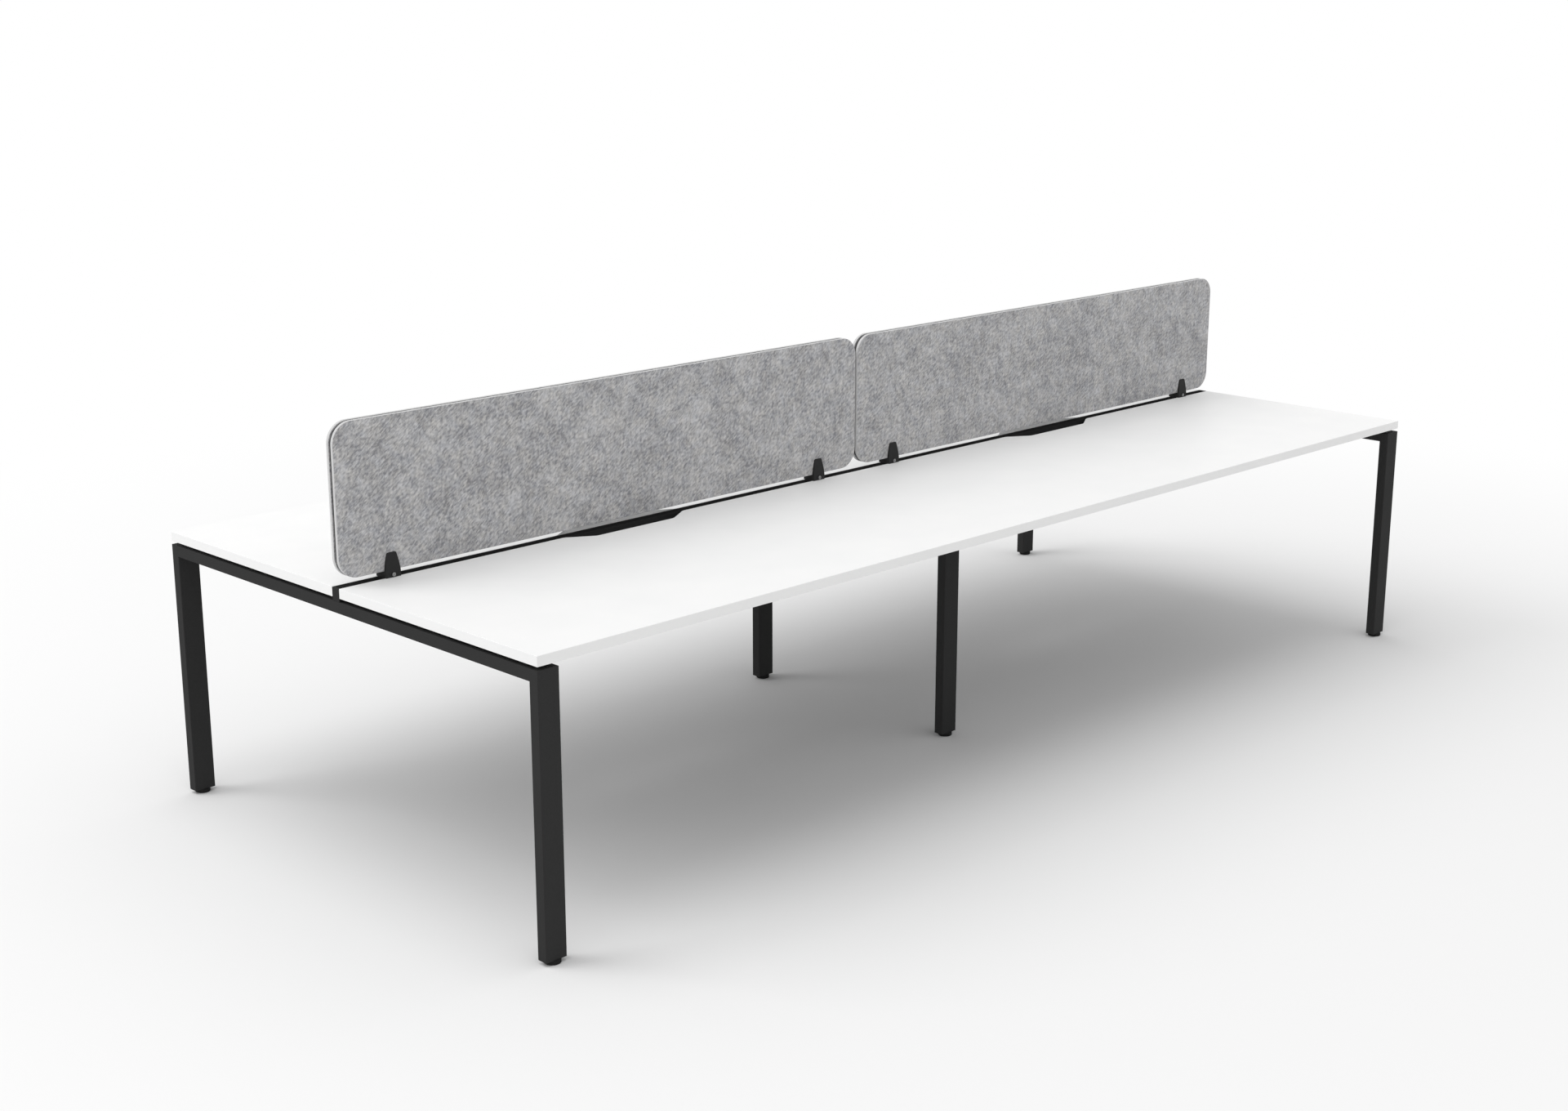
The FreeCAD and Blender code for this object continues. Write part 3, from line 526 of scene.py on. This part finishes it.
# %% Finishes for the CAD nodes
FINISH_OF = (
    ("worktop_spacers", moulded),
    ("worktop", melamine),
    ("edge_bands", edging),
    ("crossbar_caps", moulded),
    ("crossbar", powder_coat),
    ("leg_plugs", moulded),
    ("leg", powder_coat),
    ("foot_pad", foot_black),
    ("foot_stem", zinc),
    ("beam_bolts", zinc),
    ("beam", powder_coat),
    ("frame_screws", zinc),
    ("centre_rail", rail_black),
    ("rail_caps", moulded),
    ("screen", core_board),
    ("clamp_screws", dull_steel),
    ("clamp_base_screws", zinc),
    ("clamp", clamp_black),
)


def finish_for(node_name):
    """The first finish whose name starts this node's name."""
    for start, material in FINISH_OF:
        if node_name.startswith(start):
            return material
    raise KeyError(node_name)


for node_name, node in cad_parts.items():
    if not node.material_slots:
        node.data.materials.append(None)
    for slot in node.material_slots:
        slot.material = finish_for(node_name)
print("dressed", len(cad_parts), "CAD nodes")

# %% [markdown]
# ## Felt and core sheets
# Each screen is a dark core board between two felt sheets with large round
# corners. CAD has them as sharp plates. Pressed felt has a soft eased edge and
# a face that is never quite flat. A Bevel modifier could ease the edge, but
# the face would stay one flat polygon. So each sheet is built here as a grid
# whose rows close up round the corners, with rings that roll over the edge.
# The face dips by less than the ease, so the sheet stays inside the CAD plate.

# %% The face of a sheet
CELL = 0.012
LEAST_ROWS = 2
CORNER_STEPS = 14
QUARTER_TURN = radians(90.0)
DIP_SCALE = 55.0


def sheet_rows(bottom, top, radius):
    """Height and side inset of each row, with rows close round the corners."""
    turns = [QUARTER_TURN * step / CORNER_STEPS for step in range(CORNER_STEPS + 1)]
    lower = [(bottom + radius * (1 - cos(t)), radius * (1 - sin(t))) for t in turns]
    upper = [(top + bottom - height, inset) for height, inset in reversed(lower)]
    gap = upper[0][0] - lower[-1][0]
    count = max(LEAST_ROWS, round(gap / CELL))
    middle = [(lower[-1][0] + gap * step / count, 0.0) for step in range(1, count)]
    return lower + middle + upper


def face_grid(sheet, face_y, low, high, radius):
    """Rows of points over the face, joined by faces."""
    columns = round((high[0] - low[0]) / CELL)
    grid = []
    for height, inset in sheet_rows(low[1], high[1], radius):
        left = low[0] + inset
        run = high[0] - inset - left
        grid.append([sheet.verts.new((left + run * c / columns, face_y, height))
                     for c in range(columns + 1)])
    for lower, upper in zip(grid, grid[1:]):
        for c in range(columns):
            sheet.faces.new((lower[c], lower[c + 1], upper[c + 1], upper[c]))
    return grid


def dip_face(grid, depth):
    """Push the inner points of the face in, by up to a depth."""
    for row in grid[1:-1]:
        for vert in row[1:-1]:
            wave = noise.noise(vert.co * DIP_SCALE)
            vert.co.y += depth * (1.0 + wave) / 2


print("faces of sheets have cells of", CELL, "m")

# %% The edge of a sheet
EASE_STEPS = 4
CUT_FROM_SHARE = 0.6


def rim_of(grid):
    """The outer points of the grid, in order round it."""
    rim = grid[0] + [row[-1] for row in grid[1:]] + grid[-1][-2::-1]
    return rim + [row[0] for row in grid[-2:0:-1]]


def edge_direction(x, z, low, high, radius):
    """The way out of the sheet at a point of its outline."""
    centre_x = min(max(x, low[0] + radius), high[0] - radius)
    centre_z = min(max(z, low[1] + radius), high[1] - radius)
    away = Vector((x - centre_x, z - centre_z))
    return away.normalized()


def edge_steps(face_y, back_y, inward, ease):
    """For each ring, the share of the ease that it stands out by, and its depth."""
    turns = [QUARTER_TURN * step / EASE_STEPS for step in range(1, EASE_STEPS + 1)]
    front = [(sin(t), face_y + inward * ease * (1 - cos(t))) for t in turns]
    back = [(share, face_y + back_y - y) for share, y in reversed(front)]
    return front + back + [(0.0, back_y)]


def roll_edge(sheet, rim, out, steps, ease):
    """Rings from the rim of the face to the back, and the flat back."""
    cut = sheet.verts.layers.float[CUT_EDGE]
    last = rim
    for share, y in steps:
        ring = []
        for vert, way in zip(rim, out):
            spot = (vert.co.x + way.x * ease * share, y, vert.co.z + way.y * ease * share)
            ring.append(sheet.verts.new(spot))
            ring[-1][cut] = 1.0 if share > CUT_FROM_SHARE else 0.0
        for k in range(len(rim)):
            after = (k + 1) % len(rim)
            sheet.faces.new((last[k], last[after], ring[after], ring[k]))
        last = ring
    sheet.faces.new(last)


print("edges of sheets have", 2 * EASE_STEPS, "steps")

# %% Make the sheets
DESK = "desk"
SCREEN_CORNER = 0.054
CORE_SETBACK = 0.004
FELT_EASE = 0.0018
CORE_EASE = 0.0004
FELT_DIP = 0.00022
SOFT_ANGLE = radians(50.0)
# Each kind of sheet: finish, material slot, corner radius, ease, dip.
SHEET_KINDS = {
    "felt": (grey_felt, "grey_felt", SCREEN_CORNER, FELT_EASE, FELT_DIP),
    "core": (core_board, "dark_core", SCREEN_CORNER - CORE_SETBACK, CORE_EASE, 0.0),
}


def sheet_mesh(name, low, high, corner, ease, face_y, back_y, dip):
    """A closed sheet with round corners, eased edges and a dipped face."""
    inward = 1.0 if back_y > face_y else -1.0
    flat_low = (low.x + ease, low.z + ease)
    flat_high = (high.x - ease, high.z - ease)
    radius = corner - ease
    sheet = bmesh.new()
    sheet.verts.layers.float.new(CUT_EDGE)
    grid = face_grid(sheet, face_y, flat_low, flat_high, radius)
    dip_face(grid, inward * dip)
    rim = rim_of(grid)
    out = [edge_direction(v.co.x, v.co.z, flat_low, flat_high, radius) for v in rim]
    roll_edge(sheet, rim, out, edge_steps(face_y, back_y, inward, ease), ease)
    bmesh.ops.recalc_face_normals(sheet, faces=sheet.faces)
    mesh = bpy.data.meshes.new(name)
    sheet.to_mesh(mesh)
    sheet.free()
    mesh.shade_smooth()
    mesh.set_sharp_from_angle(angle=SOFT_ANGLE)
    return mesh


def settle(piece, body, node_name):
    """Give a finished piece its body and hide the CAD node that it stands for."""
    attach(piece, body)
    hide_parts(node_name)
    print("made", piece.name, "with", len(piece.data.polygons), "faces")


def make_sheet(side, layer):
    """One sheet of a screen, in the place of its CAD plate."""
    node_name = f"screen_{side}_{layer}"
    name = f"{side}_screen_{layer}_sheet"
    kind = layer.split("_")[-1]
    finish, slot_name, corner, ease, dip = SHEET_KINDS[kind]
    low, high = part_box(node_name)
    face_y, back_y = (high.y, low.y) if layer == "rear_felt" else (low.y, high.y)
    mesh = sheet_mesh(name, low, high, corner, ease, face_y, back_y, dip)
    mesh.materials.append(finish)
    piece = bpy.data.objects.new(name, mesh)
    scene.collection.objects.link(piece)
    settle(piece, DESK, node_name)


for side in ("left", "right"):
    for layer in ("front_felt", "core", "rear_felt"):
        make_sheet(side, layer)

# %% [markdown]
# ## Screws and bolts
# The same fixing repeats many times, so one Geometry Nodes tree makes it once
# and sets it on points. A head is a round or six-sided block trimmed by a cone,
# which leaves the turned chamfer, and a second block cuts the key's socket, or
# the shallow round dish of a bolt's head. The points come from the CAD group:
# each separate solid there is measured for its seat, the way it faces and its
# radii, so nothing is placed by eye.

# %% Measure the fixings in a CAD group
X_AXIS = 0
Y_AXIS = 1
Z_AXIS = 2
AXES = (X_AXIS, Y_AXIS, Z_AXIS)
MERGE = 0.000005
RIM_SHARE = 0.97
CORNER_DIGITS = 4
SEAT_DIGITS = 5


def separate_solids(node_name):
    """The corner points of each separate solid in a CAD node."""
    copy = bmesh.new()
    copy.from_mesh(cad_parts[node_name].data)
    bmesh.ops.remove_doubles(copy, verts=copy.verts, dist=MERGE)
    waiting = set(copy.verts)
    solids = []
    while waiting:
        group = [waiting.pop()]
        for vert in group:
            for edge in vert.link_edges:
                other = edge.other_vert(vert)
                if other in waiting:
                    waiting.remove(other)
                    group.append(other)
        solids.append([vert.co.copy() for vert in group])
    copy.free()
    return solids


def measure_fixing(points, axis):
    """Seat, facing and sizes of one fixing that lies along an axis."""
    low = Vector([min(p[i] for p in points) for i in AXES])
    high = Vector([max(p[i] for p in points) for i in AXES])
    middle = (low + high) / 2
    across = [i for i in AXES if i != axis]

    def reach(p):
        return hypot(*(p[i] - middle[i] for i in across))

    head_radius = max(reach(p) for p in points)
    rim = [p for p in points if reach(p) > RIM_SHARE * head_radius]
    heads_up = sum(p[axis] for p in rim) / len(rim) > middle[axis]
    seat_at = min(p[axis] for p in rim) if heads_up else max(p[axis] for p in rim)
    head_end, tip_end = (high, low) if heads_up else (low, high)
    tip = [p for p in points if abs(p[axis] - tip_end[axis]) < MERGE]
    seat = middle.copy()
    seat[axis] = seat_at
    facing = Vector((0.0, 0.0, 0.0))
    facing[axis] = 1.0 if heads_up else -1.0
    corners = {tuple(round(p[i], CORNER_DIGITS) for i in across) for p in rim}
    return {
        "seat": seat, "facing": facing, "corners": len(corners),
        "Head radius": head_radius, "Head height": abs(head_end[axis] - seat_at),
        "Shank radius": max(reach(p) for p in tip),
        "Shank length": abs(seat_at - tip_end[axis]),
    }


def fixings_in(node_name, axis):
    """Every fixing of a group, always in the same order."""
    found = [measure_fixing(points, axis) for points in separate_solids(node_name)]
    return sorted(found, key=lambda f: tuple(round(c, SEAT_DIGITS) for c in f["seat"]))


print("points nearer than", MERGE, "m count as one")

# %% Helpers for geometry trees
FLOAT = "NodeSocketFloat"
WHOLE = "NodeSocketInt"
FINISH = "NodeSocketMaterial"
SHAPE = "NodeSocketGeometry"
CREASE_ANGLE = radians(30.0)
FACING = "facing"


def start_tree(name, sizes):
    """A geometry tree with named inputs for its sizes and its finish."""
    tree = bpy.data.node_groups.new(name, "GeometryNodeTree")
    face = tree.interface
    face.new_socket("Geometry", in_out="INPUT", socket_type=SHAPE)
    for label, kind in sizes.items():
        face.new_socket(label, in_out="INPUT", socket_type=kind)
    face.new_socket("Finish", in_out="INPUT", socket_type=FINISH)
    face.new_socket("Geometry", in_out="OUTPUT", socket_type=SHAPE)
    return tree, tree.nodes.new("NodeGroupInput").outputs


def end_tree(tree, given, geometry):
    """Make instances real, set the finish and send the result out."""
    real = add(tree, "GeometryNodeRealizeInstances", Geometry=geometry)
    coated = add(tree, "GeometryNodeSetMaterial", Geometry=real.outputs[0],
                 Material=given["Finish"])
    add(tree, "NodeGroupOutput", Geometry=coated.outputs[0])


def post(tree, sides, bottom, top, height):
    """A round or many-sided post that stands on its base."""
    return add(tree, "GeometryNodeMeshCone", Vertices=sides, Radius_Bottom=bottom,
               Radius_Top=top, Depth=height).outputs["Mesh"]


def lift(tree, mesh, height):
    """Move a mesh along its own axis."""
    way = add(tree, "ShaderNodeCombineXYZ", Z=height)
    return add(tree, "GeometryNodeTransform", Geometry=mesh,
               Translation=way.outputs[0]).outputs[0]


def join(tree, *meshes):
    """Put meshes together without merging them."""
    node = add(tree, "GeometryNodeJoinGeometry")
    for mesh in meshes:
        tree.links.new(mesh, node.inputs[0])
    return node.outputs[0]


def loose_points(name, points, facing):
    """An object of loose points that may each know the way they face."""
    mesh = bpy.data.meshes.new(name + "_points")
    mesh.from_pydata(points, [], [])
    if facing:
        way = mesh.attributes.new(FACING, "FLOAT_VECTOR", "POINT")
        way.data.foreach_set("vector", [c for vector in facing for c in vector])
    piece = bpy.data.objects.new(name, mesh)
    scene.collection.objects.link(piece)
    return piece


def run_tree(name, tree, points, sizes, facing=()):
    """Run a tree on some points and keep the result as a plain mesh."""
    piece = loose_points(name, points, facing)
    modifier = piece.modifiers.new(tree.name, "NODES")
    modifier.node_group = tree
    for item in tree.interface.items_tree:
        if item.in_out == "INPUT" and item.name in sizes:
            modifier[item.identifier] = sizes[item.name]
    graph = bpy.context.evaluated_depsgraph_get()
    made = bpy.data.meshes.new_from_object(piece.evaluated_get(graph), depsgraph=graph)
    made.name = name
    piece.modifiers.remove(modifier)
    piece.data = made
    made.shade_smooth()
    made.set_sharp_from_angle(angle=CREASE_ANGLE)
    return piece


print("geometry helpers are ready")

# %% The tree for a screw
ROUND_SIDES = 32
SHANK_SIDES = 16
# This solver takes faces that lie in one plane, and its result is always the same.
SOLVER = "MANIFOLD"


def trimmed_head(tree, given):
    """A block cut down by a cone, which leaves the chamfer round its top."""
    radius, height = given["Head radius"], given["Head height"]
    block = post(tree, given["Head sides"], radius, radius, height)
    top = maths(tree, "SUBTRACT", radius, given["Head chamfer"])
    trim = post(tree, ROUND_SIDES, maths(tree, "ADD", top, height), top, height)
    head = add(tree, "GeometryNodeMeshBoolean", {"operation": "INTERSECT", "solver": SOLVER})
    tree.links.new(block, head.inputs["Mesh 2"])
    tree.links.new(trim, head.inputs["Mesh 2"])
    return head.outputs["Mesh"]


def cut_socket(tree, given, head):
    """Cut the key's socket into a head, and merge the slivers that a cut can leave."""
    radius, depth = given["Socket radius"], given["Socket depth"]
    key = post(tree, given["Socket sides"], radius, radius, maths(tree, "ADD", depth, depth))
    key = lift(tree, key, maths(tree, "SUBTRACT", given["Head height"], depth))
    cut = add(tree, "GeometryNodeMeshBoolean", {"operation": "DIFFERENCE", "solver": SOLVER},
              Mesh_1=head, Mesh_2=key)
    clean = add(tree, "GeometryNodeMergeByDistance", Geometry=cut.outputs["Mesh"], Distance=MERGE)
    return clean.outputs[0]


def plain_shank(tree, given):
    """A shank that goes down from the seat."""
    radius, length = given["Shank radius"], given["Shank length"]
    shank = post(tree, SHANK_SIDES, radius, radius, length)
    return lift(tree, shank, maths(tree, "MULTIPLY", length, -1.0))


def screw_tree():
    """A chamfered head with a key socket on a plain shank, set on points."""
    tree, given = start_tree("socket_screw", {
        "Head sides": WHOLE, "Head radius": FLOAT, "Head height": FLOAT,
        "Head chamfer": FLOAT, "Socket sides": WHOLE, "Socket radius": FLOAT,
        "Socket depth": FLOAT, "Shank radius": FLOAT, "Shank length": FLOAT})
    head = cut_socket(tree, given, trimmed_head(tree, given))
    screw = join(tree, head, plain_shank(tree, given))
    way = add(tree, "GeometryNodeInputNamedAttribute", {"data_type": "FLOAT_VECTOR"},
              Name=FACING)
    turn = add(tree, "FunctionNodeAlignRotationToVector", {"axis": "Z"},
               Vector=way.outputs["Attribute"])
    placed = add(tree, "GeometryNodeInstanceOnPoints", Points=given["Geometry"],
                 Instance=screw, Rotation=turn.outputs[0])
    end_tree(tree, given, placed.outputs[0])
    return tree


socket_screw = screw_tree()
print("tree", socket_screw.name, "has", len(socket_screw.nodes), "nodes")

# %% Set the screws on their points
HEX_SIDES = 6
SQUARE_SIDES = 4
DISH_SIDES = 24
# Each group: finish, axis that it lies along, sides of its socket, the socket's
# radius and depth as shares of the head, the chamfer as a share of its height.
FIXING_GROUPS = {
    "clamp_screws": (dull_steel, Y_AXIS, HEX_SIDES, 0.35, 0.70, 0.10),
    "beam_bolts": (zinc, X_AXIS, DISH_SIDES, 0.55, 0.16, 0.20),
    "frame_screws": (zinc, Z_AXIS, SQUARE_SIDES, 0.36, 0.60, 0.30),
    "clamp_base_screws": (zinc, Z_AXIS, HEX_SIDES, 0.40, 0.60, 0.22),
}


def screw_sizes(fixing, key_sides, key_share, depth_share, chamfer_share):
    """The sizes that the tree needs for one fixing."""
    sizes = {label: fixing[label] for label in
             ("Head radius", "Head height", "Shank radius", "Shank length")}
    six_sided = fixing["corners"] <= HEX_SIDES
    sizes["Head sides"] = HEX_SIDES if six_sided else ROUND_SIDES
    sizes["Head chamfer"] = fixing["Head height"] * chamfer_share
    sizes["Socket sides"] = key_sides
    sizes["Socket radius"] = fixing["Head radius"] * key_share
    sizes["Socket depth"] = fixing["Head height"] * depth_share
    return sizes


for group, (finish, axis, *socket_row) in FIXING_GROUPS.items():
    fixings = fixings_in(group, axis)
    sizes = screw_sizes(fixings[0], *socket_row)
    print(group, len(fixings), {label: round(size, SEAT_DIGITS) for label, size in sizes.items()})
    sizes["Finish"] = finish
    piece = run_tree("set_of_" + group, socket_screw, [f["seat"] for f in fixings], sizes,
                     [f["facing"] for f in fixings])
    settle(piece, DESK, group)

# %% [markdown]
# ## Threaded stems of the levelling feet
# Each foot turns on a threaded stem that shows when the foot is wound out. The
# thread follows a helix, so a tree sweeps a small diamond along a spiral round
# a plain core. Its crests reach the CAD stem's radius and no further.

# %% Threaded stems
THREAD_PITCH = 0.00125
THREAD_ROOT_SHARE = 0.86
RIDGE_SHARE = 0.46
TURN_POINTS = 18
RIDGE_SIDES = 4


def stem_tree():
    """A plain core with a ridge that winds up round it."""
    tree, given = start_tree("threaded_stem", {
        "Crest radius": FLOAT, "Root radius": FLOAT, "Pitch": FLOAT,
        "Ridge radius": FLOAT, "Length": FLOAT})
    ridge, root, length = given["Ridge radius"], given["Root radius"], given["Length"]
    run = maths(tree, "SUBTRACT", length, maths(tree, "MULTIPLY", ridge, 2.0))
    reach = maths(tree, "SUBTRACT", given["Crest radius"], ridge)
    path = add(tree, "GeometryNodeCurveSpiral", Resolution=TURN_POINTS,
               Rotations=maths(tree, "DIVIDE", run, given["Pitch"]),
               Start_Radius=reach, End_Radius=reach, Height=run)
    outline = add(tree, "GeometryNodeCurvePrimitiveCircle", Resolution=RIDGE_SIDES,
                  Radius=ridge)
    wound = add(tree, "GeometryNodeCurveToMesh", Curve=path.outputs[0],
                Profile_Curve=outline.outputs[0], Fill_Caps=True)
    core = post(tree, ROUND_SIDES, root, root, length)
    stem = join(tree, lift(tree, wound.outputs[0], ridge), core)
    placed = add(tree, "GeometryNodeInstanceOnPoints", Points=given["Geometry"], Instance=stem)
    end_tree(tree, given, placed.outputs[0])
    return tree


def make_stem(tree, row, side):
    """The stem of one foot, in the place of its CAD rod."""
    node_name = f"foot_stem_{row}_{side}"
    low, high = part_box(node_name)
    crest = (high.x - low.x) / 2
    foot = Vector(((low.x + high.x) / 2, (low.y + high.y) / 2, low.z))
    piece = run_tree(f"threaded_stem_{row}_{side}", tree, [foot], {
        "Crest radius": crest, "Root radius": crest * THREAD_ROOT_SHARE,
        "Pitch": THREAD_PITCH, "Ridge radius": THREAD_PITCH * RIDGE_SHARE,
        "Length": high.z - low.z, "Finish": zinc})
    settle(piece, f"foot_{row}_{side}", node_name)


threaded_stem = stem_tree()
for row in ("front", "rear"):
    for side in ("left", "middle", "right"):
        make_stem(threaded_stem, row, side)
